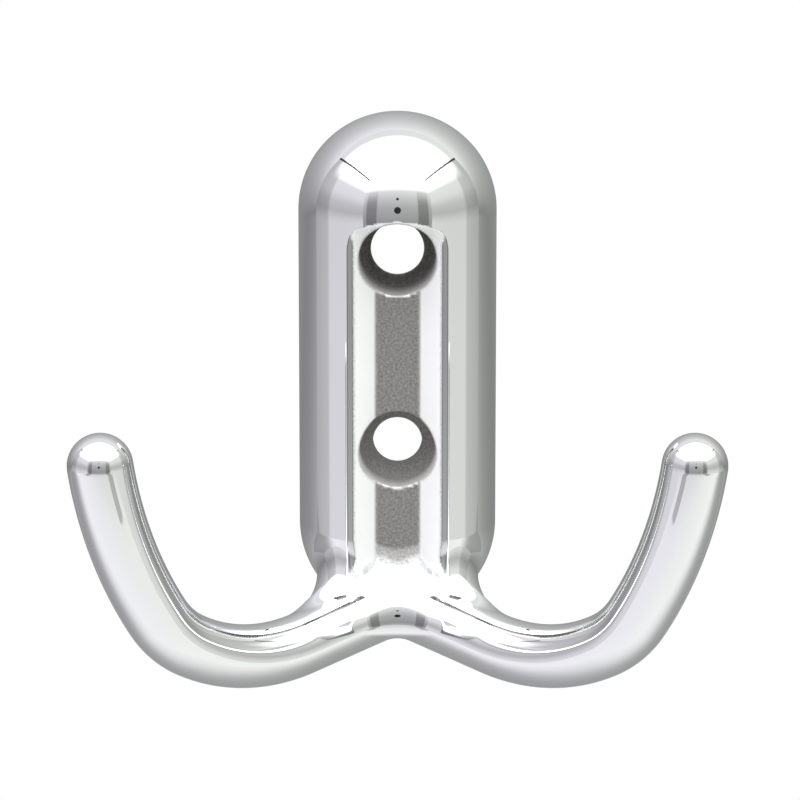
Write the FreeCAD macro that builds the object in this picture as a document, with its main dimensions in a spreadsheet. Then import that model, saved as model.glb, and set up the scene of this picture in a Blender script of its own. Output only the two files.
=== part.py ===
import FreeCAD, Part
import math
import os
import Sketcher

# Double robe hook: one casting, in its own upright frame in millimetres.
# Z is up, the front faces -Y and the wall is the plane y = 0.
# The origin lies on the wall, midway between the two screw holes.
# Depth is the distance in front of the wall, drop the distance below the origin.
# Angles are in degrees. One half is built at x > 0 and mirrored, then the middle is cut.

SIZES = [
    # Half round back plate: radius, and centres of its two rounded ends
    ("plate_radius", 10.25),
    ("upper_end", 14.0),
    ("lower_end", 18.9),
    # Channel down the front: floor depth and width, both its ends, slope of its walls
    ("channel_depth", 6.5),
    ("channel_width", 4.3),
    ("channel_top", 10.86),
    ("channel_low", 20.3),
    ("channel_slope", 42.3),
    ("channel_corner", 1.0),
    # Arms: round bar, the point where both bars meet above the plate's foot, their direction
    ("arm_radius", 3.25),
    ("crossing_depth", 5.0),
    ("crossing_rise", 2.58),
    ("arm_spread", 38.0),
    ("arm_dip", 11.06),
    ("crossing_bend", 4.0),
    # Arm path in its own upright plane: straight root, then three bends upwards
    ("root_length", 12.6),
    ("low_bend_radius", 20.8),
    ("low_bend_turn", 39.97),
    ("elbow_radius", 11.03),
    ("elbow_turn", 27.13),
    ("tip_bend_radius", 41.85),
    ("tip_bend_turn", 24.07),
    # Soft corner between the arms and the plate
    ("arm_blend", 4.2),
    # Screw holes: spacing, radius of each hole, sunk seat and metal left under it
    ("hole_spacing", 20.0),
    ("upper_hole_radius", 2.75),
    ("lower_hole_radius", 2.55),
    ("seat_radius", 3.95),
    ("upper_seat_depth", 0.9),
    ("lower_seat_depth", 2.8),
]

VALUE = dict(SIZES)
# The sketcher's own numbers for the points of an edge and for the axes
START, END, CENTRE = range(1, 4)
H_AXIS, V_AXIS = range(-1, -3, -1)
ORIGIN = (H_AXIS, START)
TINY = 1e-4


def size(name):
    """Text that reads one named size inside an expression."""
    return "<<sizes>>." + name


def crossing_drop():
    """Expression for the drop of the point where both bars meet."""
    return "(%s + %s - %s)" % (size("lower_end"), size("plate_radius"), size("crossing_rise"))


def half_turn():
    """Expression for the angle between one arm's root and the X axis."""
    return "acos(cos(%s) * cos(%s))" % (size("arm_dip"), size("arm_spread"))


def root_tilt():
    """Expression for the dip of the plane that holds both straight roots."""
    return "atan(tan(%s) / sin(%s))" % (size("arm_dip"), size("arm_spread"))


def root_start():
    """Expression for the distance from the meeting point to the straight root."""
    return "%s * tan(%s)" % (size("crossing_bend"), half_turn())


def make_sheet(doc):
    """Put every driving size in the spreadsheet under its own alias."""
    sheet = doc.addObject("Spreadsheet::Sheet", "sizes")
    for row, (name, value) in enumerate(SIZES, start=1):
        sheet.set("A%d" % row, name)
        sheet.set("B%d" % row, str(value))
        sheet.setAlias("B%d" % row, name)
    doc.recompute()
    return sheet


def origin_part(body, role):
    """One of the body's own origin planes or axes."""
    for feature in body.Origin.OriginFeatures:
        if feature.Role == role:
            return feature
    raise ValueError("no origin feature " + role)


def place(item, body, role, base=None, axis=None, angle=None):
    """Attach a sketch, datum or ball to an origin plane, moved and turned by expressions."""
    item.AttachmentSupport = [(origin_part(body, role), "")]
    item.MapMode = "FlatFace"
    if axis is not None:
        turn = FreeCAD.Rotation(FreeCAD.Vector(*axis), 1.0)
        item.AttachmentOffset = FreeCAD.Placement(FreeCAD.Vector(), turn)
        item.setExpression(".AttachmentOffset.Rotation.Angle", angle)
    for letter, text in (base or {}).items():
        item.setExpression(".AttachmentOffset.Base." + letter, text)


def add_sketch(body, name, role, base=None, axis=None, angle=None):
    """Make a sketch on an origin plane of the body."""
    sketch = body.newObject("Sketcher::SketchObject", name)
    place(sketch, body, role, base, axis, angle)
    return sketch


def fix(sketch, name, text, *constraint):
    """Add a named dimension to a sketch and bind it to an expression."""
    number = sketch.addConstraint(Sketcher.Constraint(*constraint))
    sketch.renameConstraint(number, name)
    sketch.setExpression("Constraints." + name, text)


def tie(sketch, *constraint):
    """Add a geometric constraint to a sketch."""
    sketch.addConstraint(Sketcher.Constraint(*constraint))


def add_line(sketch, start, end):
    """Add a line between two points of the sketch plane and return its index."""
    return sketch.addGeometry(Part.LineSegment(FreeCAD.Vector(*start, 0), FreeCAD.Vector(*end, 0)))


def add_arc(sketch, centre, radius, first, last):
    """Add an arc from one angle to another, in degrees, and return its index."""
    circle = Part.Circle(FreeCAD.Vector(*centre, 0), FreeCAD.Vector(0, 0, 1), radius)
    arc = Part.ArcOfCircle(circle, math.radians(first), math.radians(last))
    return sketch.addGeometry(arc)


def add_circle(sketch, centre, name, text, radius):
    """Add a circle whose radius is bound to an expression and return its index."""
    circle = Part.Circle(FreeCAD.Vector(*centre, 0), FreeCAD.Vector(0, 0, 1), radius)
    index = sketch.addGeometry(circle)
    fix(sketch, name, text, "Radius", index, radius)
    return index


def add_rectangle(sketch, low, high):
    """Add a rectangle with its foot left free to turn and return its lines, from the foot round."""
    corners = [low, (high[0], low[1]), high, (low[0], high[1])]
    lines = []
    for start, end in zip(corners, corners[1:] + corners[:1]):
        lines.append(add_line(sketch, start, end))
    for one, two in zip(lines, lines[1:] + lines[:1]):
        tie(sketch, "Coincident", one, END, two, START)
    tie(sketch, "Horizontal", lines[2])
    tie(sketch, "Vertical", lines[1])
    tie(sketch, "Vertical", lines[3])
    return lines


def add_plate(body):
    """Revolve half a stadium into one side of the rounded bar that the plate is cut from."""
    sketch = add_sketch(body, "plate_outline", "XZ_Plane")
    radius = VALUE["plate_radius"]
    top = VALUE["upper_end"]
    low = -VALUE["lower_end"]
    lower = add_arc(sketch, (0, low), radius, -90, 0)
    side = add_line(sketch, (radius, low), (radius, top))
    upper = add_arc(sketch, (0, top), radius, 0, 90)
    middle = add_line(sketch, (0, top + radius), (0, low - radius))
    tie(sketch, "Tangent", lower, END, side, START)
    tie(sketch, "Tangent", side, END, upper, START)
    tie(sketch, "Coincident", upper, END, middle, START)
    tie(sketch, "Coincident", middle, END, lower, START)
    tie(sketch, "Vertical", middle)
    tie(sketch, "PointOnObject", lower, CENTRE, V_AXIS)
    tie(sketch, "PointOnObject", upper, CENTRE, V_AXIS)
    tie(sketch, "PointOnObject", middle, START, V_AXIS)
    tie(sketch, "Equal", lower, upper)
    fix(sketch, "radius", size("plate_radius"), "Radius", lower, radius)
    fix(sketch, "upper_end", size("upper_end"), "DistanceY", *ORIGIN, upper, CENTRE, top)
    fix(sketch, "lower_end", size("lower_end"), "DistanceY", lower, CENTRE, *ORIGIN, -low)
    plate = body.newObject("PartDesign::Revolution", "plate")
    plate.Profile = sketch
    plate.ReferenceAxis = (sketch, ["V_Axis"])
    plate.Angle = 180
    plate.Midplane = True
    return plate


def add_crossing(body):
    """Turn the round bar a short way out of the middle plane, towards one arm's root."""
    reach = "%s / (cos(%s) * cos(%s))" % (size("crossing_bend"), size("arm_dip"), size("arm_spread"))
    base = {
        "x": "-%s - %s * cos(%s)" % (size("crossing_depth"), reach, root_tilt()),
        "y": "-%s - %s * sin(%s)" % (crossing_drop(), reach, root_tilt()),
    }
    sketch = add_sketch(body, "crossing_section", "YZ_Plane", base, (0, 0, 1), root_tilt())
    bend = VALUE["crossing_bend"]
    ring = add_circle(sketch, (bend, 0), "radius", size("arm_radius"), VALUE["arm_radius"])
    tie(sketch, "PointOnObject", ring, CENTRE, H_AXIS)
    fix(sketch, "bend", size("crossing_bend"), "DistanceX", *ORIGIN, ring, CENTRE, bend)
    crossing = body.newObject("PartDesign::Revolution", "crossing")
    crossing.Profile = sketch
    crossing.ReferenceAxis = (sketch, ["V_Axis"])
    crossing.setExpression("Angle", half_turn())
    crossing.Reversed = True
    return crossing


def add_arm_path(body):
    """Sketch the centre line of one arm in its upright plane."""
    base = {"y": "-" + crossing_drop(), "z": size("crossing_depth")}
    sketch = add_sketch(body, "arm_path", "XZ_Plane", base, (0, -1, 0), size("arm_spread"))
    dip = math.radians(VALUE["arm_dip"])
    turn = math.acos(math.cos(dip) * math.cos(math.radians(VALUE["arm_spread"])))
    begin = VALUE["crossing_bend"] * math.tan(turn)
    out, up = begin * math.cos(dip), -begin * math.sin(dip)
    length = VALUE["root_length"]
    end = (length * math.cos(dip), -length * math.sin(dip))
    root = add_line(sketch, (out, up), end)
    fix(sketch, "root_out", "%s * cos(%s)" % (root_start(), size("arm_dip")),
        "DistanceX", *ORIGIN, root, START, out)
    fix(sketch, "root_down", "%s * sin(%s)" % (root_start(), size("arm_dip")),
        "DistanceY", root, START, *ORIGIN, -up)
    fix(sketch, "dip", "-" + size("arm_dip"), "Angle", root, -dip)
    fix(sketch, "root_length", "%s - %s" % (size("root_length"), root_start()),
        "Distance", root, length - begin)
    heading = -VALUE["arm_dip"]
    last = root
    for name in ("low_bend", "elbow", "tip_bend"):
        radius = VALUE[name + "_radius"]
        angle = VALUE[name + "_turn"]
        bearing = math.radians(heading)
        centre = (end[0] - radius * math.sin(bearing), end[1] + radius * math.cos(bearing))
        arc = add_arc(sketch, centre, radius, heading - 90, heading + angle - 90)
        tie(sketch, "Tangent", last, END, arc, START)
        fix(sketch, name + "_radius", size(name + "_radius"), "Radius", arc, radius)
        fix(sketch, name + "_turn", size(name + "_turn"), "Angle", arc, math.radians(angle))
        heading += angle
        bearing = math.radians(heading)
        end = (centre[0] + radius * math.sin(bearing), centre[1] - radius * math.cos(bearing))
        last = arc
    return sketch


def add_arm(doc, body):
    """Sweep the round bar along the arm path and close its tip with a ball end."""
    path = add_arm_path(body)
    doc.recompute()
    section = body.newObject("Sketcher::SketchObject", "arm_section")
    section.AttachmentSupport = [(path, "Edge1")]
    section.MapMode = "NormalToEdge"
    ring = add_circle(section, (0, 0), "radius", size("arm_radius"), VALUE["arm_radius"])
    tie(section, "Coincident", ring, CENTRE, *ORIGIN)
    arm = body.newObject("PartDesign::AdditivePipe", "arm")
    arm.Profile = section
    arm.Spine = path
    doc.recompute()
    ball = body.newObject("PartDesign::AdditiveSphere", "arm_tip")
    ball.AttachmentSupport = [(path, "Edge%d" % len(path.Shape.Edges))]
    ball.MapMode = "NormalToEdge"
    ball.MapPathParameter = 1.0
    ball.setExpression("Radius", size("arm_radius"))
    return ball


def is_arm_face(face):
    """Whether a face belongs to the round bar of the arm, straight or bent."""
    surface = face.Surface
    if isinstance(surface, Part.Toroid):
        return abs(surface.MinorRadius - VALUE["arm_radius"]) < TINY
    if isinstance(surface, Part.Cylinder):
        return abs(surface.Radius - VALUE["arm_radius"]) < TINY
    return False


def is_plate_face(face):
    """Whether a face belongs to the rounded plate."""
    surface = face.Surface
    if isinstance(surface, (Part.Cylinder, Part.Sphere)):
        return abs(surface.Radius - VALUE["plate_radius"]) < TINY
    return False


def edges_between(shape, one, other):
    """Names of the edges where a face of one kind meets a face of another kind."""
    names = []
    for number, edge in enumerate(shape.Edges, start=1):
        faces = shape.ancestorsOfType(edge, Part.Face)
        if len(faces) != 2:
            continue
        if (one(faces[0]) and other(faces[1])) or (one(faces[1]) and other(faces[0])):
            names.append("Edge%d" % number)
    return names


def add_fillet(doc, body, name, base, radius, edges):
    """Round the named edges of the last feature with one radius."""
    fillet = body.newObject("PartDesign::Fillet", name)
    fillet.Base = (base, edges)
    fillet.setExpression("Radius", size(radius))
    doc.recompute()
    return fillet


def add_wall_cut(body):
    """Cut everything behind the wall plane away, so that the back is flat."""
    sketch = add_sketch(body, "wall_cut_outline", "XZ_Plane")
    reach = 2 * (VALUE["upper_end"] + VALUE["lower_end"])
    foot, side, _, _ = add_rectangle(sketch, (-reach, -reach), (reach, reach))
    tie(sketch, "Horizontal", foot)
    tie(sketch, "Symmetric", foot, START, side, END, *ORIGIN)
    width = "4 * (%s + %s)" % (size("upper_end"), size("lower_end"))
    fix(sketch, "width", width, "DistanceX", foot, START, foot, END, 2 * reach)
    fix(sketch, "height", width, "DistanceY", side, START, side, END, 2 * reach)
    cut = body.newObject("PartDesign::Pocket", "wall_cut")
    cut.Profile = sketch
    cut.Type = "ThroughAll"
    return cut


def add_mirror(body):
    """Mirror the whole half across the middle plane."""
    whole = body.newObject("PartDesign::Mirrored", "both_halves")
    whole.TransformMode = "Whole shape"
    whole.MirrorPlane = (origin_part(body, "YZ_Plane"), [""])
    body.Tip = whole
    return whole


def add_channel(body):
    """Cut the channel forwards from its floor, with one slope all round."""
    sketch = add_sketch(body, "channel_floor", "XZ_Plane", {"z": size("channel_depth")})
    half = VALUE["channel_width"] / 2
    top = VALUE["channel_top"]
    low = -VALUE["channel_low"]
    foot, side, _, _ = add_rectangle(sketch, (-half, low), (half, top))
    tie(sketch, "Symmetric", foot, START, foot, END, V_AXIS)
    fix(sketch, "width", size("channel_width"), "DistanceX", foot, START, foot, END, 2 * half)
    fix(sketch, "top", size("channel_top"), "DistanceY", *ORIGIN, side, END, top)
    fix(sketch, "low", size("channel_low"), "DistanceY", side, START, *ORIGIN, -low)
    channel = body.newObject("PartDesign::Pocket", "channel")
    channel.Profile = sketch
    channel.Reversed = True
    reach = "1.04 * %s - %s" % (size("plate_radius"), size("channel_depth"))
    channel.setExpression("Length", reach)
    channel.setExpression("TaperAngle", "90 - " + size("channel_slope"))
    return channel


def is_channel_wall(face):
    """Whether a face is one of the channel's four flat sloped walls."""
    first, last, low, high = face.ParameterRange
    steep = math.cos(math.radians(VALUE["channel_slope"]))
    for share in (0.2, 0.5):
        normal = face.normalAt(first + share * (last - first), low + share * (high - low))
        if abs(normal.y + steep) > TINY:
            return False
    return True


def is_channel_floor(face):
    """Whether a face is the channel's flat floor."""
    flat = isinstance(face.Surface, Part.Plane)
    return flat and abs(face.CenterOfMass.y + VALUE["channel_depth"]) < TINY


def add_channel_corner(doc, body, channel):
    """Round the corner between the channel's floor and its walls."""
    foot = edges_between(channel.Shape, is_channel_wall, is_channel_floor)
    return add_fillet(doc, body, "channel_corners", channel, "channel_corner", foot)


def add_round_pocket(body, name, height, radius, depth):
    """Cut a round hole forwards out of the casting, from a depth in front of the wall."""
    sketch = add_sketch(body, name + "_circle", "XZ_Plane", {"z": depth})
    middle = math.copysign(VALUE["hole_spacing"] / 2, height)
    ring = add_circle(sketch, (0, middle), "radius", size(radius), VALUE[radius])
    tie(sketch, "PointOnObject", ring, CENTRE, V_AXIS)
    ends = (*ORIGIN, ring, CENTRE) if height > 0 else (ring, CENTRE, *ORIGIN)
    fix(sketch, "height", size("hole_spacing") + " / 2", "DistanceY", *ends, abs(middle))
    pocket = body.newObject("PartDesign::Pocket", name)
    pocket.Profile = sketch
    pocket.Reversed = True
    pocket.Type = "ThroughAll"
    return pocket


def add_screw_holes(body):
    """Cut both screw holes, each with a round seat sunk through the channel floor."""
    for name, height in (("upper", 1), ("lower", -1)):
        add_round_pocket(body, name + "_hole", height, name + "_hole_radius", "0 * " + size("plate_radius"))
        add_round_pocket(body, name + "_seat", height, "seat_radius", size(name + "_seat_depth"))


def build_hook(doc):
    """Build the whole casting as one body."""
    body = doc.addObject("PartDesign::Body", "double_hook")
    body.Label = "double_hook"
    add_plate(body)
    add_crossing(body)
    tip = add_arm(doc, body)
    doc.recompute()
    joint = edges_between(tip.Shape, is_arm_face, is_plate_face)
    add_fillet(doc, body, "arm_corner", tip, "arm_blend", joint)
    add_wall_cut(body)
    doc.recompute()
    add_mirror(body)
    channel = add_channel(body)
    doc.recompute()
    add_channel_corner(doc, body, channel)
    add_screw_holes(body)
    doc.recompute()
    return body


def check(doc, body):
    """Stop if any feature failed or the casting isn't one sound solid."""
    for item in doc.Objects:
        if "Invalid" in item.State or "Error" in item.State:
            raise RuntimeError(item.Name + " failed: " + item.getStatusString())
    shape = body.Shape
    if shape.isNull() or not shape.isValid() or len(shape.Solids) != 1:
        raise RuntimeError(body.Label + " isn't one valid solid")
    box = shape.optimalBoundingBox()
    print(body.Label, "volume", round(shape.Volume, 1), "faces", len(shape.Faces))
    print("size", round(box.XLength, 2), round(box.YLength, 2), round(box.ZLength, 2))


def main():
    doc = FreeCAD.newDocument("double_robe_hook")
    make_sheet(doc)
    body = build_hook(doc)
    check(doc, body)
    os.makedirs("parts", exist_ok=True)
    body.Shape.exportStep("parts/%s.step" % body.Label)


if __name__ == "__main__":
    main()
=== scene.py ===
"""Studio picture of a chrome plated double robe hook, hung by its flat back.

The hook is one casting: a half round plate with a channel down its front, and a bar that
crosses its lower end and sweeps out and up on both sides. All its edges and roots are
rolled, so the casting is drawn as one distance field with rolling ball blends, meshed on a
fine grid, and shaded with the field's own normals, as polished metal needs.
"""
import logging
import math
from collections.abc import Sequence
from dataclasses import dataclass
from enum import Enum

import bpy
import numpy as np
import openvdb
from bpy.types import Material, Mesh, Node, NodeSocket, NodeTree, Object
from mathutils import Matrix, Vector

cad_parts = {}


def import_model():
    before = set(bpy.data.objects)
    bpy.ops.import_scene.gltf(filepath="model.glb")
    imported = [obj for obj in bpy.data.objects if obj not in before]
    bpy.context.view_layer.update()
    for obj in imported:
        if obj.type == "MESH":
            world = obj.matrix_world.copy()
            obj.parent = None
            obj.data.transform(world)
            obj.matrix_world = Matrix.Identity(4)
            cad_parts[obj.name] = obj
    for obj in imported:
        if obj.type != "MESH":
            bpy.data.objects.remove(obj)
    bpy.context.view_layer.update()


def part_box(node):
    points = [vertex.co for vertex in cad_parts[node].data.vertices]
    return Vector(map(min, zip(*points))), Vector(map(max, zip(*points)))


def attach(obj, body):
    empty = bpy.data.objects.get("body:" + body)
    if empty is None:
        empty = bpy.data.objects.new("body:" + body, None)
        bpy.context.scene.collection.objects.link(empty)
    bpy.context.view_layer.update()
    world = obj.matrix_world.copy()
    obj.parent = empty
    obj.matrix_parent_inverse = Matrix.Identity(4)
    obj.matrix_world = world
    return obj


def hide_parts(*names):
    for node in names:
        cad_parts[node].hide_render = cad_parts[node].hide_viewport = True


LOG = logging.getLogger("robe_hook")

MM = 0.001
NODE = "double_hook"
BODY = "root"
CAST_ATTRIBUTE = "as_cast"
# painted shade: how much the channel's floor and the holes are darkened, more down the holes
PAINTED_SHADE_ATTRIBUTE = "painted_recess_shade"

TINY = 1e-12  # keeps a vector without length from a division by zero
TINY_SQUARE = 1e-18  # the least number that a root is taken of
TURN_LIMITS = (-0.999, 0.99)  # cosines between two surfaces past which no ball is rolled
MIX_A, MIX_B, MIX_OUT = 6, 7, 2  # a mix node's colour sockets, which share their names

Triple = tuple[float, float, float]
Band = tuple[float, float]  # where a gradual change starts and ends
Field = tuple[np.ndarray, np.ndarray]  # signed distances, and their unit gradients


def unit(vectors: np.ndarray) -> np.ndarray:
    """Vectors of length one.

    Args:
        vectors: One vector per row.

    Returns:
        The rows, each divided by its length.
    """
    lengths = np.linalg.norm(vectors, axis=1)
    return vectors / np.maximum(lengths, TINY)[:, None]


def smooth(low: float, high: float, value: np.ndarray) -> np.ndarray:
    """A rise from 0 at low to 1 at high, level at both ends."""
    share = np.clip((value - low) / (high - low), 0, 1)
    return share * share * (3 - 2 * share)


def lattice(counts: Sequence[int]) -> np.ndarray:
    """The whole number places in a box, one per row, counted along the last axis first."""
    axes = [np.arange(count) for count in counts]
    return np.stack(np.meshgrid(*axes, indexing="ij"), -1).reshape(-1, 3)


def joined(first: Field, second: Field, radius: float | np.ndarray) -> Field:
    """Union of two solids, with the corner between them filled by a rolling ball.

    Args:
        first: One solid's distances and gradients.
        second: The other's.
        radius: Ball radius in metres, one for all points or one for each.

    Returns:
        The united solid's distances and gradients.
    """
    (a, to_a), (b, to_b) = first, second
    turn = np.clip((to_a * to_b).sum(1), *TURN_LIMITS)
    u, v = a - radius, b - radius
    reached = (u < turn * v) & (v < turn * u) & (np.minimum(u, v) < 0)
    span = 1 - turn * turn
    square = (u * u + v * v - 2 * turn * u * v) / span
    ball = radius - np.sqrt(np.maximum(square, TINY_SQUARE))
    nearest = np.minimum(a, b)
    reached &= ball < nearest
    share_a, share_b = (u - turn * v) / span, (v - turn * u) / span
    outward = unit(-(share_a[:, None] * to_a + share_b[:, None] * to_b))
    plain = np.where((a < b)[:, None], to_a, to_b)
    return np.where(reached, ball, nearest), np.where(reached[:, None], outward, plain)


def opposite(solid: Field) -> Field:
    """The space outside a solid, as a solid."""
    return -solid[0], -solid[1]


def common(first: Field, second: Field, radius: float | np.ndarray) -> Field:
    """What two solids share, its edge rounded to the radius in metres."""
    return opposite(joined(opposite(first), opposite(second), radius))


def half_space(points: np.ndarray, normal: Triple, at: Triple) -> Field:
    """The solid behind a plane.

    Args:
        points: Points in metres.
        normal: The plane's outward direction, of any length.
        at: A point on the plane.

    Returns:
        Distances and gradients.
    """
    direction = np.array(normal) / np.linalg.norm(normal)
    return (points - np.array(at)) @ direction, np.broadcast_to(direction, points.shape)


@dataclass(frozen=True)
class Bend:
    """One bend of an arm, in its own upright plane."""

    radius: float
    rise: float  # slope of the arm where the bend ends, in degrees


@dataclass(frozen=True)
class ScrewHole:
    """A hole through the plate with a seat for a screw's head."""

    height: float
    bore_radius: float
    seat_radius: float
    web: float  # metal left between the seat and the wall


@dataclass
class ArmPair:
    """The bar that crosses the plate's lower end and rises on both sides, thickest at its tips."""

    tip_x: float  # outermost point of an arm
    height: float = -26.57 * MM  # where the arms' axes cross
    depth: float = 5.0 * MM  # the same, out from the wall
    spread: float = 38.0  # each arm's angle out from the wall, in degrees
    dip: float = 11.06  # of its straight root, in degrees
    root_radius: float = 3.2 * MM
    tip_radius: float = 3.25 * MM
    crossing_blend: float = 8.0 * MM
    under_blend: float = 2.6 * MM  # the same, on the crossing's underside
    underside: Band = (-2.8 * MM, -0.8 * MM)  # height over the axes, from one to the other
    bends: tuple[Bend, ...] = (
        Bend(20.8 * MM, 28.91),
        Bend(11.03 * MM, 56.04),
        Bend(41.85 * MM, 80.11),
    )

    def root_length(self) -> float:
        """The straight root, as long as the arm's reach asks for."""
        swept, before = 0.0, math.sin(math.radians(-self.dip))
        for bend in self.bends:
            after = math.sin(math.radians(bend.rise))
            swept += bend.radius * (after - before)
            before = after
        reach = (self.tip_x - self.tip_radius) / math.cos(math.radians(self.spread))
        return (reach - swept) / math.cos(math.radians(self.dip))

    def arm(self, points: np.ndarray) -> Field:
        """The right arm alone.

        Args:
            points: Points in metres.

        Returns:
            Distances and gradients.
        """
        angle = math.radians(self.spread)
        heading = np.array([math.cos(angle), -math.sin(angle), 0.0])
        sideways = np.array([math.sin(angle), math.cos(angle), 0.0])
        away = points - np.array([0.0, -self.depth, self.height])
        flat = np.stack([away @ heading, away[:, 2]], 1)
        slope = -math.radians(self.dip)
        length = self.root_length()
        ahead = np.array([math.cos(slope), math.sin(slope)])
        along = np.clip(flat @ ahead, 0, length)
        nearest = along[:, None] * ahead
        gap = ((flat - nearest) ** 2).sum(1)
        corner, travelled = length * ahead, length
        for bend in self.bends:
            rise = math.radians(bend.rise)
            centre = corner + bend.radius * np.array([-math.sin(slope), math.cos(slope)])
            spoke = flat - centre
            here = np.clip(np.arctan2(spoke[:, 0], -spoke[:, 1]), slope, rise)
            foot = centre + bend.radius * np.stack([np.sin(here), -np.cos(here)], 1)
            away_from = ((flat - foot) ** 2).sum(1)
            closer = away_from < gap
            nearest[closer], gap[closer] = foot[closer], away_from[closer]
            along[closer] = travelled + bend.radius * (here[closer] - slope)
            corner = centre + bend.radius * np.array([math.sin(rise), -math.cos(rise)])
            travelled += bend.radius * (rise - slope)
            slope = rise
        off = flat - nearest
        out = off[:, :1] * heading + (away @ sideways)[:, None] * sideways
        out[:, 2] += off[:, 1]
        radius = self.root_radius + (self.tip_radius - self.root_radius) * along / travelled
        return np.linalg.norm(out, axis=1) - radius, unit(out)

    def field(self, points: np.ndarray) -> Field:
        """Both arms, blended where they cross.

        Args:
            points: Points in metres.

        Returns:
            Distances and gradients.
        """
        mirror = np.array([-1.0, 1.0, 1.0])
        side = np.sign(points[:, :1] + TINY)
        facing = np.concatenate([side, np.ones_like(side), np.ones_like(side)], 1)
        own = self.arm(points * facing)
        other, to_other = self.arm(points * facing * mirror)
        above = smooth(*self.underside, points[:, 2] - self.height)
        blend = self.under_blend + (self.crossing_blend - self.under_blend) * above
        distance, outward = joined(own, (other, to_other * mirror), blend)
        return distance, outward * facing


@dataclass
class Plate:
    """The half round plate and the channel down its front, flat against the wall at y = 0."""

    upper_end: float  # centre of the ball that ends it above
    radius: float = 10.25 * MM
    lower_end: float = -18.9 * MM
    channel_depth: float = 6.5 * MM  # channel floor, out from the wall
    channel_width: float = 4.3 * MM  # of its floor
    channel_top: float = 10.4 * MM
    channel_low: float = -22.3 * MM
    channel_slope: float = 46.5  # of the channel's walls, in degrees
    low_slope: float = 46.0  # of its lower end
    low_foot_radius: float = 3.4 * MM  # where the lower end rises from the floor
    top_corner_radius: float = 1.0 * MM
    floor_radius: float = 0.5 * MM
    front_room: float = 1.04  # how far out the channel is cut, in plate radii

    def outside(self, points: np.ndarray) -> Field:
        """The plate before its channel is cut: a bar with round ends.

        Args:
            points: Points in metres.

        Returns:
            Distances and gradients.
        """
        out = points.copy()
        out[:, 2] -= np.clip(points[:, 2], self.lower_end, self.upper_end)
        return np.linalg.norm(out, axis=1) - self.radius, unit(out)

    def channel(self, points: np.ndarray) -> Field:
        """What the channel takes away, from its floor to just clear of the plate's front.

        Args:
            points: Points in metres.

        Returns:
            Distances and gradients.
        """
        angle, low_angle = math.radians(self.channel_slope), math.radians(self.low_slope)
        steep, shallow = math.sin(angle), math.cos(angle)
        low_steep, low_shallow = math.sin(low_angle), math.cos(low_angle)
        edge, floor = self.channel_width / 2, -self.channel_depth
        right = half_space(points, (steep, shallow, 0), (edge, floor, 0))
        left = half_space(points, (-steep, shallow, 0), (-edge, floor, 0))
        top = half_space(points, (0, shallow, steep), (0, floor, self.channel_top))
        low = half_space(points, (0, low_shallow, -low_steep), (0, floor, self.channel_low))
        ground = half_space(points, (0, 1, 0), (0, floor, 0))
        ground = common(low, ground, self.low_foot_radius)
        wider = right[0] > left[0]
        walls = np.where(wider, right[0], left[0]), np.where(wider[:, None], right[1], left[1])
        front = half_space(points, (0, -1, 0), (0, -self.front_room * self.radius, 0))
        walls = common(common(walls, top, self.top_corner_radius), front, self.floor_radius)
        return common(walls, ground, self.floor_radius)


@dataclass(frozen=True)
class WearAndPaintedShade:
    """How far the polishing wheel reached, and where shade is painted, by place and by upward
    slant.
    """

    lowest: Band = (-23.8 * MM, -23.2 * MM)  # height; the channel counts only above it
    foot: Band = (0.0, 0.1)  # slant at which the channel's foot starts
    back: Band = (-0.2 * MM, -0.05 * MM)  # y; the surface past it is as cast
    hole_edge: Band = (0.02 * MM, 0.2 * MM)  # how far a hole's surface reaches past its edge
    cast_edge: Band = (0.0, 0.12 * MM)  # the same for the cast surface of the channel
    cast_crest: Band = (0.25, 0.42)  # slant from which the wheel reached the channel's foot
    foot_polish: float = 0.15  # how far it reached the foot's lesser slants
    painted_shade_edge: Band = (0.02 * MM, 0.3 * MM)  # how far painted shade reaches past the channel
    painted_shade_side: Band = (-0.05 * MM, 0.3 * MM)  # and sideways, past the channel's floor
    painted_shade_front: Band = (0.9 * MM, 0.6 * MM)  # and in front of it
    painted_shade_crest: Band = (0.22, 0.4)  # slant from which the foot has no painted shade
    foot_shade_lift: float = 0.3  # how much of the painted shade is lifted at lesser slants
    # how dark the painted shade on the channel's floor is
    painted_shade_floor: float = 0.7
    painted_shade_hole: float = 0.35  # painted shade at a hole's mouth, and as much again at its bottom
    hole_bottom: float = -1.0 * MM  # y of the deepest and darkest painted shade


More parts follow.
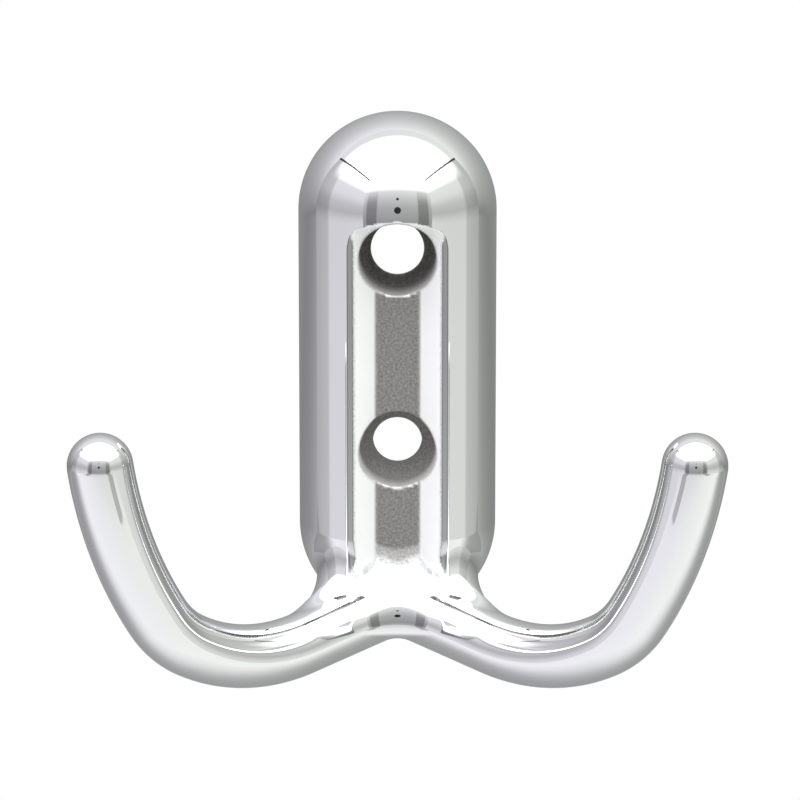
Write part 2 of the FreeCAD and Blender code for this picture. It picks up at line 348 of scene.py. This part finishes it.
@dataclass
class RobeHook:
    """The whole casting."""

    plate: Plate
    arms: ArmPair
    wear_and_shade: WearAndPaintedShade = WearAndPaintedShade()
    holes: tuple[ScrewHole, ...] = (
        ScrewHole(10.0 * MM, 2.75 * MM, 3.95 * MM, 0.9 * MM),
        ScrewHole(-10.0 * MM, 2.55 * MM, 3.95 * MM, 2.8 * MM),
    )
    arm_blend: float = 5.5 * MM
    front_blend: float = 3.0 * MM  # between arms and plate in front, under the channel
    blend_beside: Band = (3.0 * MM, 6.5 * MM)  # from the middle, where one turns into the other
    blend_behind: Band = (-8.0 * MM, -5.0 * MM)  # the same from front to back
    rim_radius: float = 1.0 * MM
    rim_sharpening: float = 0.7 * MM  # taken off it at the channel's upper end
    rim_heights: Band = (11.0 * MM, 13.5 * MM)
    hole_lip: float = 0.25 * MM
    seat_corner: float = 1.0 * MM
    back_edge: float = 0.35 * MM
    grid_step: float = 0.28 * MM
    block: int = 4  # grid steps to a side of the blocks that are tried first
    near: float = 1.3  # blocks this near to the surface, in their own size, are filled in
    room: Band = (1.37, 1.4)  # blocks left free before and past the CAD box
    settlings: int = 4  # times that the mesh is moved onto the surface

    @classmethod
    def in_frame(cls, low: Vector, high: Vector) -> "RobeHook":
        """The hook that fills the frame's box.

        Args:
            low: The box's lowest corner in metres.
            high: Its highest corner.

        Returns:
            The hook.
        """
        return cls(Plate(upper_end=high.z - Plate.radius), ArmPair(tip_x=min(high.x, -low.x)))

    def hole(self, points: np.ndarray, hole: ScrewHole) -> Field:
        """What one screw hole and its seat take away.

        Args:
            points: Points in metres.
            hole: The hole's sizes.

        Returns:
            Distances and gradients.
        """
        out = points - np.array([0.0, 0.0, hole.height])
        out[:, 1] = 0
        radial, outward = np.linalg.norm(out, axis=1), unit(out)
        seat_floor = half_space(points, (0, 1, 0), (0, -hole.web, 0))
        walls = radial - hole.seat_radius, outward
        seat = common(walls, seat_floor, self.seat_corner)
        return joined(seat, (radial - hole.bore_radius, outward), self.hole_lip)

    def field(self, points: np.ndarray) -> Field:
        """The casting's distance field.

        Args:
            points: Points in metres.

        Returns:
            Distances and gradients.
        """
        beside = smooth(*self.blend_beside, np.abs(points[:, 0]))
        behind = smooth(*self.blend_behind, points[:, 1])
        wider = self.arm_blend - self.front_blend
        blend = self.front_blend + wider * np.maximum(beside, behind)
        rim = self.rim_radius - self.rim_sharpening * smooth(*self.rim_heights, points[:, 2])
        plate = common(self.plate.outside(points), opposite(self.plate.channel(points)), rim)
        solid = joined(plate, self.arms.field(points), blend)
        for hole in self.holes:
            solid = common(solid, opposite(self.hole(points, hole)), self.hole_lip)
        wall = half_space(points, (0, 1, 0), (0, 0, 0))
        return common(solid, wall, self.back_edge)

    def grid(self, low: np.ndarray, counts: np.ndarray) -> np.ndarray:
        """The field on a grid, worked out only near the surface.

        Args:
            low: The grid's first point in metres.
            counts: How many blocks the grid has each way.

        Returns:
            Distances in grid steps, one for each grid point.
        """
        size = self.block
        places = lattice(counts)
        middles = low + (places + 0.5) * size * self.grid_step
        coarse = self.field(middles)[0] / self.grid_step
        values = np.repeat(coarse[:, None], size ** 3, 1).astype(np.float32)
        near = np.abs(coarse) < self.near * size
        inner = lattice((size, size, size))
        fine = low + (places[near][:, None] * size + inner[None]) * self.grid_step
        values[near] = (self.field(fine.reshape(-1, 3))[0] / self.grid_step).reshape(-1, size ** 3)
        blocks = values.reshape(*counts, size, size, size)
        return blocks.transpose(0, 3, 1, 4, 2, 5).reshape(counts * size)

    def shares(self, points: np.ndarray, outward: np.ndarray) -> dict[str, np.ndarray]:
        """How far the wheel missed each point, and how much shade is painted on it.

        Args:
            points: Points of the surface in metres.
            outward: The surface's directions there.

        Returns:
            By attribute name, a number from 0 to 1 for each point: as cast in the channel, in
            the holes and on the back; painted shade on the channel's floor, and more down the
            holes.
        """
        wear_and_shade, floor, slant = self.wear_and_shade, -self.plate.channel_depth, outward[:, 2]
        to_channel = self.plate.channel(points)[0]
        to_hole = np.stack([self.hole(points, hole)[0] for hole in self.holes]).min(0)
        in_hole = 1 - smooth(*wear_and_shade.hole_edge, to_hole)
        above = smooth(*wear_and_shade.lowest, points[:, 2])
        at_foot = smooth(*wear_and_shade.foot, slant)

        cast = 1 - smooth(*wear_and_shade.cast_edge, to_channel)
        cast *= 1 - wear_and_shade.foot_polish * at_foot
        cast *= (1 - smooth(*wear_and_shade.cast_crest, slant)) * above
        cast = np.maximum(np.maximum(cast, in_hole), smooth(*wear_and_shade.back, points[:, 1]))

        # Painted shade on the channel's floor, lifted where the surface faces up
        first, last = wear_and_shade.painted_shade_front
        across = np.abs(points[:, 0]) - self.plate.channel_width / 2
        painted_shade = 1 - smooth(*wear_and_shade.painted_shade_edge, to_channel)
        painted_shade *= smooth(floor - first, floor - last, points[:, 1])
        painted_shade *= above * (1 - smooth(*wear_and_shade.painted_shade_side, across))
        crest = smooth(*wear_and_shade.painted_shade_crest, slant)
        painted_shade *= 1 - wear_and_shade.foot_shade_lift * at_foot - (1 - wear_and_shade.foot_shade_lift) * crest
        # Painted shade down the holes, darker with depth
        depth = smooth(floor, wear_and_shade.hole_bottom, points[:, 1])
        down_hole = in_hole * (wear_and_shade.painted_shade_hole + wear_and_shade.painted_shade_hole * depth)
        return {CAST_ATTRIBUTE: cast, PAINTED_SHADE_ATTRIBUTE: np.maximum(wear_and_shade.painted_shade_floor * painted_shade, down_hole)}

    def mesh(self, low: Vector, high: Vector) -> Mesh:
        """The casting's mesh, with the field's normals, the attribute of its finish and that of its
        painted shade.

        Args:
            low: Lowest corner of the CAD box in metres.
            high: Its highest corner.

        Returns:
            A closed mesh in the frame's own place.
        """
        span = self.block * self.grid_step
        before, past = self.room
        first = np.array(low) - before * span
        counts = np.ceil((np.array(high) + past * span - first) / span).astype(int)
        grid = openvdb.FloatGrid()
        grid.copyFromArray(np.ascontiguousarray(self.grid(first, counts)))
        corners, quads = grid.convertToQuads(0.0)
        points = first + np.array(corners, float) * self.grid_step
        for _ in range(self.settlings):
            distance, outward = self.field(points)
            points = points - distance[:, None] * outward
        outward = self.field(points)[1]
        quads = np.array(quads, int)
        a, b, c, d = (points[quads[:, corner]] for corner in range(4))
        if (np.cross(c - a, d - b) * outward[quads[:, 0]]).sum() < 0:
            quads = quads[:, ::-1]
        mesh = bpy.data.meshes.new(NODE)
        mesh.from_pydata(points.tolist(), [], quads.tolist())
        mesh.shade_smooth()
        mesh.normals_split_custom_set_from_vertices(outward.tolist())
        for name, values in self.shares(points, outward).items():
            shares = mesh.attributes.new(name, "FLOAT", "POINT")
            shares.data.foreach_set("value", values.astype(np.float32))
        return mesh

    def build(self, low: Vector, high: Vector) -> Object:
        """Makes the object and links it to the scene."""
        piece = bpy.data.objects.new("robe_hook_casting", self.mesh(low, high))
        bpy.context.scene.collection.objects.link(piece)
        return piece


def linear(colour: str) -> tuple[float, float, float, float]:
    """A linear colour from an sRGB hex value.

    Args:
        colour: Such as "#d9dadb".

    Returns:
        Red, green, blue and an alpha of one.
    """
    shares = [int(colour[i:i + 2], 16) / 255 for i in (1, 3, 5)]
    red, green, blue = (s / 12.92 if s <= 0.04045 else ((s + 0.055) / 1.055) ** 2.4 for s in shares)
    return red, green, blue, 1.0


def add_node(tree: NodeTree, kind: str, inputs: dict | None = None, **settings: object) -> Node:
    """Adds a node with its settings, and links or sets its inputs.

    Args:
        tree: The node tree.
        kind: The node's type name.
        inputs: Sockets to link, or values to set, by input name or index.
        settings: The node's own properties.

    Returns:
        The node.
    """
    node = tree.nodes.new(kind)
    for name, value in settings.items():
        setattr(node, name, value)
    for key, value in (inputs or {}).items():
        if isinstance(value, NodeSocket):
            tree.links.new(value, node.inputs[key])
        else:
            node.inputs[key].default_value = value
    return node


@dataclass(frozen=True)
class ChromePlate:
    """Bright chrome plate over a polished zinc casting.

    It mirrors the tent nearly clear. Where the wheel didn't reach, the cast grain under the
    plate scatters the light to an even white, and shade is painted brownish in the recesses.
    """

    colour: str = "#eeeff0"
    cast_colour: str = "#fcfcfc"  # the grain scatters nearly all light
    painted_shade_colour: str = "#6e6a64"  # painted shade on the channel's floor and down the holes
    polished_roughness: float = 0.035
    cast_roughness: float = 0.9
    grain: float = 0.25 * MM  # about twice the real one, which is too fine to show in the render
    grain_height: float = 0.012 * MM
    grain_detail: float = 3.0
    spotted: float = 0.8  # how unevenly the painted shade is spread
    ragged: float = 2.0  # how far the grain eats into the edge of the cast surface

    def material(self) -> Material:
        """A near mirror that turns satin and grainy by the casting's attributes, and darker by
        painted shade.
        """
        material = bpy.data.materials.new("chrome_plated_zinc_casting")
        material.use_nodes = True
        tree = material.node_tree
        tree.nodes.clear()
        cast, painted_shade = [
            add_node(tree, "ShaderNodeAttribute", attribute_name=name, attribute_type="GEOMETRY")
            for name in (CAST_ATTRIBUTE, PAINTED_SHADE_ATTRIBUTE)
        ]
        place = add_node(tree, "ShaderNodeTexCoord")
        grain = add_node(tree, "ShaderNodeTexNoise", {
            "Vector": place.outputs["Object"],
            "Scale": 1 / self.grain,
            "Detail": self.grain_detail,
        })
        centred = add_node(tree, "ShaderNodeMath", {
            0: grain.outputs["Fac"], 1: 0.5,
        }, operation="SUBTRACT")
        middle = add_node(tree, "ShaderNodeMapRange", {
            "Value": cast.outputs["Fac"], "From Min": 0.0, "From Max": 0.5,
        })
        top = add_node(tree, "ShaderNodeMapRange", {
            "Value": cast.outputs["Fac"], "From Min": 1.0, "From Max": 0.5,
        })
        edge = add_node(tree, "ShaderNodeMath", {
            0: middle.outputs[0], 1: top.outputs[0],
        }, operation="MULTIPLY")
        bite = add_node(tree, "ShaderNodeMath", {
            0: centred.outputs[0], 1: edge.outputs[0],
        }, operation="MULTIPLY")
        eaten = add_node(tree, "ShaderNodeMath", {
            0: bite.outputs[0], 1: self.ragged, 2: cast.outputs["Fac"],
        }, operation="MULTIPLY_ADD", use_clamp=True)
        roughness = add_node(tree, "ShaderNodeMapRange", {
            "Value": eaten.outputs[0],
            "To Min": self.polished_roughness,
            "To Max": self.cast_roughness,
        })
        height = add_node(tree, "ShaderNodeMath", {
            0: grain.outputs["Fac"], 1: cast.outputs["Fac"],
        }, operation="MULTIPLY")
        bump = add_node(tree, "ShaderNodeBump", {
            "Height": height.outputs["Value"],
            "Distance": self.grain_height,
            "Strength": 1.0,
        })
        bright = add_node(tree, "ShaderNodeMix", {
            "Factor": eaten.outputs[0],
            MIX_A: linear(self.colour),
            MIX_B: linear(self.cast_colour),
        }, data_type="RGBA")
        # Painted shade, made uneven by the grain's noise
        spots = add_node(tree, "ShaderNodeMath", {
            0: centred.outputs[0], 1: painted_shade.outputs["Fac"],
        }, operation="MULTIPLY")
        painted_shade_amount = add_node(tree, "ShaderNodeMath", {
            0: spots.outputs[0], 1: self.spotted, 2: painted_shade.outputs["Fac"],
        }, operation="MULTIPLY_ADD", use_clamp=True)
        colour = add_node(tree, "ShaderNodeMix", {
            "Factor": painted_shade_amount.outputs[0],
            MIX_A: bright.outputs[MIX_OUT],
            MIX_B: linear(self.painted_shade_colour),
        }, data_type="RGBA")
        shader = add_node(tree, "ShaderNodeBsdfPrincipled", {
            "Base Color": colour.outputs[MIX_OUT],
            "Metallic": 1.0,
            "Roughness": roughness.outputs["Result"],
            "Normal": bump.outputs["Normal"],
        })
        add_node(tree, "ShaderNodeOutputMaterial", {"Surface": shader.outputs["BSDF"]})
        return material


class Panel(Enum):
    """The light tent's panels: the axis that each one's grey runs along, and greys by metre."""

    FRONT = ("Z", (
        (-0.3, "#b0b0b0"), (-0.18, "#969696"), (0.0, "#a2a2a2"), (0.18, "#afafaf"),
        (0.36, "#c8c8c8"), (0.58, "#e6e6e6"), (0.84, "#f4f4f4"),
    ))
    BACK = ("Z", (
        (-0.3, "#aaaaaa"), (-0.1, "#848484"), (0.03, "#9c9c9c"), (0.28, "#bababa"),
        (0.52, "#d1d1d1"), (0.67, "#dedede"), (0.9, "#ebebeb"),
    ))
    SIDE = ("Z", (
        (-0.3, "#dcdcdc"), (-0.2, "#d8d8d8"), (0.02, "#b6b6b6"), (0.17, "#c3c3c3"),
        (0.35, "#e0e0e0"), (1.0, "#f2f2f2"),
    ))
    CEILING = ("Y", (
        (-0.2, "#fefefe"), (0.02, "#fefefe"), (0.1, "#fafafa"), (0.18, "#e6e6e6"),
        (0.42, "#e4e4e4"),
    ))
    FLOOR = ("Y", (
        (-1.0, "#c8c8c8"), (-0.5, "#ececec"), (-0.17, "#f5f5f5"), (-0.1, "#e8e8e8"),
        (-0.05, "#d7d7d7"), (0.0, "#c1c1c1"), (0.05, "#b0b0b0"), (0.13, "#a2a2a2"),
        (0.42, "#969696"),
    ))


class Fade(Enum):
    """What comes in gradually along the tent: its axis, its start and end in metres, its most."""

    BARS = ("Z", 0.62, 0.3, 0.42)  # the front corners' bars, clear above and dark below
    BESIDE = ("Y", -0.09, -0.02, 0.27)  # the sides' shade, from the hook's place on
    BEHIND = ("Y", 0.0, 0.42, 0.14)  # their further shade towards the back
    LAMP = ("Z", 0.55, 1.0, 2.6)  # added light under the lamps, on the ceiling and high up
    AHEAD = ("Y", 0.25, 0.0, 1.0)  # the share of it, as the lamps hang in front
    TINT = ("X", -0.5, 0.5, 1.0)  # from the left tint to the right one


@dataclass
class LightTent:
    """Soft white tent with a slot for the lens, seen only in the metal.

    What the camera sees past the hook is plain white.
    """

    half_width: float = 1.116  # beside the hook
    splay: float = 0.273  # how much further out each side stands for a metre to the back
    front: float = -1.0
    back: float = 0.42
    ceiling: float = 1.0
    floor: float = -0.3
    on_panel: float = 1e-3  # a place is on a panel if it is this near
    bar_place: float = 0.59  # upright dark bars near the front corners
    bar_half_width: float = 0.143
    bar_back: float = -0.55  # they are in front of this
    lens_places: tuple[tuple[float, float], ...] = ((0.12, 0.07), (0.36, 0.03))  # height, radius
    lens_grey: str = "#303030"
    seam: float = 0.1  # how near the sides, along the ray, the ceiling's seam shows
    seam_grey: str = "#3c3c3c"
    left_tint: str = "#fbf9ff"
    right_tint: str = "#fcfffa"
    strength: float = 1.14

    def leaving(self, tree: NodeTree) -> tuple[Node, Node, Node]:
        """Where a ray leaves the tent.

        Args:
            tree: The world's node tree.

        Returns:
            The node that parts the distances to the sides, ends, and ceiling or floor, the node of
            the nearest of these, and the node of the place.
        """
        ray = add_node(tree, "ShaderNodeTexCoord").outputs["Generated"]
        parts = add_node(tree, "ShaderNodeSeparateXYZ", {0: ray})
        sideways = add_node(tree, "ShaderNodeMath", {0: parts.outputs["X"]}, operation="ABSOLUTE")
        spread = add_node(tree, "ShaderNodeMath", {
            0: parts.outputs["Y"], 1: -self.splay, 2: sideways.outputs[0],
        }, operation="MULTIPLY_ADD")
        skewed = add_node(tree, "ShaderNodeCombineXYZ", {
            "X": spread.outputs[0], "Y": parts.outputs["Y"], "Z": parts.outputs["Z"],
        })
        low = -self.half_width, self.front, self.floor
        high = self.half_width, self.back, self.ceiling
        to_low, to_high = [
            add_node(tree, "ShaderNodeVectorMath", {
                0: corner, 1: skewed.outputs[0],
            }, operation="DIVIDE")
            for corner in (low, high)
        ]
        leave = add_node(tree, "ShaderNodeVectorMath", {
            0: to_low.outputs[0], 1: to_high.outputs[0],
        }, operation="MAXIMUM")
        ways = add_node(tree, "ShaderNodeSeparateXYZ", {0: leave.outputs[0]})
        nearer = add_node(tree, "ShaderNodeMath", {
            0: ways.outputs["X"], 1: ways.outputs["Y"],
        }, operation="MINIMUM")
        reach = add_node(tree, "ShaderNodeMath", {
            0: nearer.outputs[0], 1: ways.outputs["Z"],
        }, operation="MINIMUM")
        hit = add_node(tree, "ShaderNodeVectorMath", {
            0: ray, "Scale": reach.outputs[0],
        }, operation="SCALE")
        return ways, reach, hit

    def panel(self, tree: NodeTree, panel: Panel, place: Node) -> NodeSocket:
        """One panel's colour along its own axis.

        Args:
            tree: The world's node tree.
            panel: Which panel.
            place: The node that parts the place where the ray leaves the tent.

        Returns:
            The colour socket.
        """
        axis, greys = panel.value
        first, last = greys[0][0], greys[-1][0]
        share = add_node(tree, "ShaderNodeMapRange", {
            "Value": place.outputs[axis], "From Min": first, "From Max": last,
        })
        ramp = add_node(tree, "ShaderNodeValToRGB", {"Fac": share.outputs[0]})
        stops = ramp.color_ramp.elements
        for at, _ in greys[2:]:
            stops.new((at - first) / (last - first))
        for stop, (at, grey) in zip(stops, greys, strict=True):
            stop.position, stop.color = (at - first) / (last - first), linear(grey)
        return ramp.outputs["Color"]

    def shade(
        self, tree: NodeTree, place: Node, on_side: NodeSocket, fades: dict[Fade, NodeSocket],
    ) -> NodeSocket:
        """How dark the tent is for its bars and for the dimmer light behind the hook.

        Args:
            tree: The world's node tree.
            place: The node that parts the place where the ray leaves the tent.
            on_side: One on the side panels.
            fades: What comes in along the tent.

        Returns:
            The socket of the share of light that is missing.
        """
        sideways = add_node(tree, "ShaderNodeMath", {0: place.outputs["X"]}, operation="ABSOLUTE")
        bars = add_node(tree, "ShaderNodeMath", {
            0: sideways.outputs[0], 1: self.bar_place, 2: self.bar_half_width,
        }, operation="COMPARE")
        in_front = add_node(tree, "ShaderNodeMath", {
            0: place.outputs["Y"], 1: self.bar_back,
        }, operation="LESS_THAN")
        both = add_node(tree, "ShaderNodeMath", {
            0: bars.outputs[0], 1: in_front.outputs[0],
        }, operation="MULTIPLY")
        depth = add_node(tree, "ShaderNodeMath", {
            0: both.outputs[0], 1: fades[Fade.BARS],
        }, operation="MULTIPLY")
        dimmer = add_node(tree, "ShaderNodeMath", {
            0: fades[Fade.BESIDE], 1: fades[Fade.BEHIND],
        }, operation="ADD")
        return add_node(tree, "ShaderNodeMath", {
            0: dimmer.outputs[0], 1: on_side, 2: depth.outputs[0],
        }, operation="MULTIPLY_ADD").outputs[0]

    def build(self) -> None:
        """Makes the world: the tent's inner face by the ray's direction, its marks and tints."""
        world = bpy.data.worlds.new("light_tent")
        bpy.context.scene.world = world
        world.use_nodes = True
        tree = world.node_tree
        tree.nodes.clear()
        ways, reach, hit = self.leaving(tree)
        place = add_node(tree, "ShaderNodeSeparateXYZ", {0: hit.outputs[0]})
        to_side = add_node(tree, "ShaderNodeMath", {
            0: ways.outputs["X"], 1: reach.outputs[0],
        }, operation="SUBTRACT")
        fades = {}
        for fade in Fade:
            axis, start, end, most = fade.value
            fades[fade] = add_node(tree, "ShaderNodeMapRange", {
                "Value": place.outputs[axis], "From Min": start, "From Max": end, "To Max": most,
            }).outputs[0]

        # The panels, each laid over the ones before
        colour = self.panel(tree, Panel.FRONT, place)
        tests = (
            (Panel.BACK, place.outputs["Y"], "GREATER_THAN", self.back - self.on_panel),
            (Panel.CEILING, place.outputs["Z"], "GREATER_THAN", self.ceiling - self.on_panel),
            (Panel.FLOOR, place.outputs["Z"], "LESS_THAN", self.floor + self.on_panel),
            (Panel.SIDE, to_side.outputs[0], "LESS_THAN", self.on_panel),
        )
        there = {}
        for panel, value, test, limit in tests:
            there[panel] = add_node(tree, "ShaderNodeMath", {
                0: value, 1: limit,
            }, operation=test).outputs[0]
            colour = add_node(tree, "ShaderNodeMix", {
                "Factor": there[panel], MIX_A: colour, MIX_B: self.panel(tree, panel, place),
            }, data_type="RGBA").outputs[MIX_OUT]

        # The marks on them: shade, the ceiling's seam and the lens openings
        close = add_node(tree, "ShaderNodeMath", {
            0: to_side.outputs[0], 1: self.seam,
        }, operation="LESS_THAN")
        seam = add_node(tree, "ShaderNodeMath", {
            0: close.outputs[0], 1: there[Panel.CEILING],
        }, operation="MULTIPLY")
        marks = [
            (self.shade(tree, place, there[Panel.SIDE], fades), "#000000"),
            (seam.outputs[0], self.seam_grey),
        ]
        for height, radius in self.lens_places:
            apart = add_node(tree, "ShaderNodeVectorMath", {
                0: hit.outputs[0], 1: (0.0, self.front, height),
            }, operation="DISTANCE")
            inside = add_node(tree, "ShaderNodeMath", {
                0: apart.outputs["Value"], 1: radius,
            }, operation="LESS_THAN")
            marks.append((inside.outputs[0], self.lens_grey))
        for share, grey in marks:
            colour = add_node(tree, "ShaderNodeMix", {
                "Factor": share, MIX_A: colour, MIX_B: linear(grey),
            }, data_type="RGBA").outputs[MIX_OUT]

        # The tint from left to right, the lamps' light, and white for the camera
        tint = add_node(tree, "ShaderNodeMix", {
            "Factor": fades[Fade.TINT],
            MIX_A: linear(self.left_tint),
            MIX_B: linear(self.right_tint),
        }, data_type="RGBA").outputs[MIX_OUT]
        tinted = add_node(tree, "ShaderNodeMix", {
            "Factor": 1.0, MIX_A: colour, MIX_B: tint,
        }, data_type="RGBA", blend_type="MULTIPLY").outputs[MIX_OUT]
        strength = add_node(tree, "ShaderNodeMath", {
            0: fades[Fade.LAMP], 1: fades[Fade.AHEAD], 2: self.strength,
        }, operation="MULTIPLY_ADD")
        tent = add_node(tree, "ShaderNodeBackground", {
            "Color": tinted, "Strength": strength.outputs[0],
        })
        plain = add_node(tree, "ShaderNodeBackground", {"Color": (1, 1, 1, 1), "Strength": 1.0})
        seen = add_node(tree, "ShaderNodeLightPath")
        either = add_node(tree, "ShaderNodeMixShader", {
            0: seen.outputs["Is Camera Ray"], 1: tent.outputs[0], 2: plain.outputs[0],
        })
        add_node(tree, "ShaderNodeOutputWorld", {"Surface": either.outputs[0]})


@dataclass
class Table:
    """White table far below the hook, of opal acrylic that is lit from below to an even white."""

    height: float = -0.3
    half_size: float = 6.0
    colour: str = "#ffffff"

    def build(self) -> Object:
        """Makes the table, which only the camera sees."""
        around = ((-1, -1), (1, -1), (1, 1), (-1, 1))
        corners = [(x * self.half_size, y * self.half_size, self.height) for x, y in around]
        mesh = bpy.data.meshes.new("white_table")
        mesh.from_pydata(corners, [], [(0, 1, 2, 3)])
        material = bpy.data.materials.new("opal_acrylic_lit_from_below")
        material.use_nodes = True
        tree = material.node_tree
        tree.nodes.clear()
        glow = add_node(tree, "ShaderNodeEmission", {"Color": linear(self.colour), "Strength": 1.0})
        add_node(tree, "ShaderNodeOutputMaterial", {"Surface": glow.outputs[0]})
        mesh.materials.append(material)
        table = bpy.data.objects.new("white_table", mesh)
        bpy.context.scene.collection.objects.link(table)
        table.visible_glossy = table.visible_diffuse = table.visible_shadow = False
        return table


@dataclass
class Camera:
    """Long lens a little above the hook's middle, square to it."""

    aim: Triple = (0.0, 0.0, -2.44 * MM)
    distance: float = 400.0 * MM
    elevation: float = 11.0  # in degrees
    picture: int = 800  # pixels to a side
    focal_pixels: float = 3840.0
    aim_at: tuple[float, float] = (397.5, 365.0)  # the aimed point, in pixels from the top left
    clip: Band = (0.01, 30.0)

    def build(self) -> None:
        """Makes the scene's camera."""
        data = bpy.data.cameras.new("camera")
        data.lens = self.focal_pixels / self.picture * data.sensor_width
        data.shift_x = (self.picture / 2 - self.aim_at[0]) / self.picture
        data.shift_y = (self.aim_at[1] - self.picture / 2) / self.picture
        data.clip_start, data.clip_end = self.clip
        camera = bpy.data.objects.new("camera", data)
        bpy.context.scene.collection.objects.link(camera)
        angle = math.radians(self.elevation)
        back = Vector((0, -math.cos(angle), math.sin(angle)))
        camera.location = Vector(self.aim) + back * self.distance
        camera.rotation_mode = "QUATERNION"
        camera.rotation_quaternion = (-back).to_track_quat("-Z", "Y")
        bpy.context.scene.camera = camera


def main() -> None:
    """Builds the hook, the tent and the camera."""
    logging.basicConfig(level=logging.INFO, format="%(name)s: %(message)s")
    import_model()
    low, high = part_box(NODE)
    hook = RobeHook.in_frame(low, high)
    piece = hook.build(low, high)
    piece.data.materials.append(ChromePlate().material())
    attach(piece, BODY)
    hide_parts(NODE)
    LOG.info("%s: %d faces", piece.name, len(piece.data.polygons))
    LightTent().build()
    Table().build()
    Camera().build()
    bpy.context.scene.view_settings.view_transform = "Standard"
    bpy.context.view_layer.update()


if __name__ == "__main__":
    main()
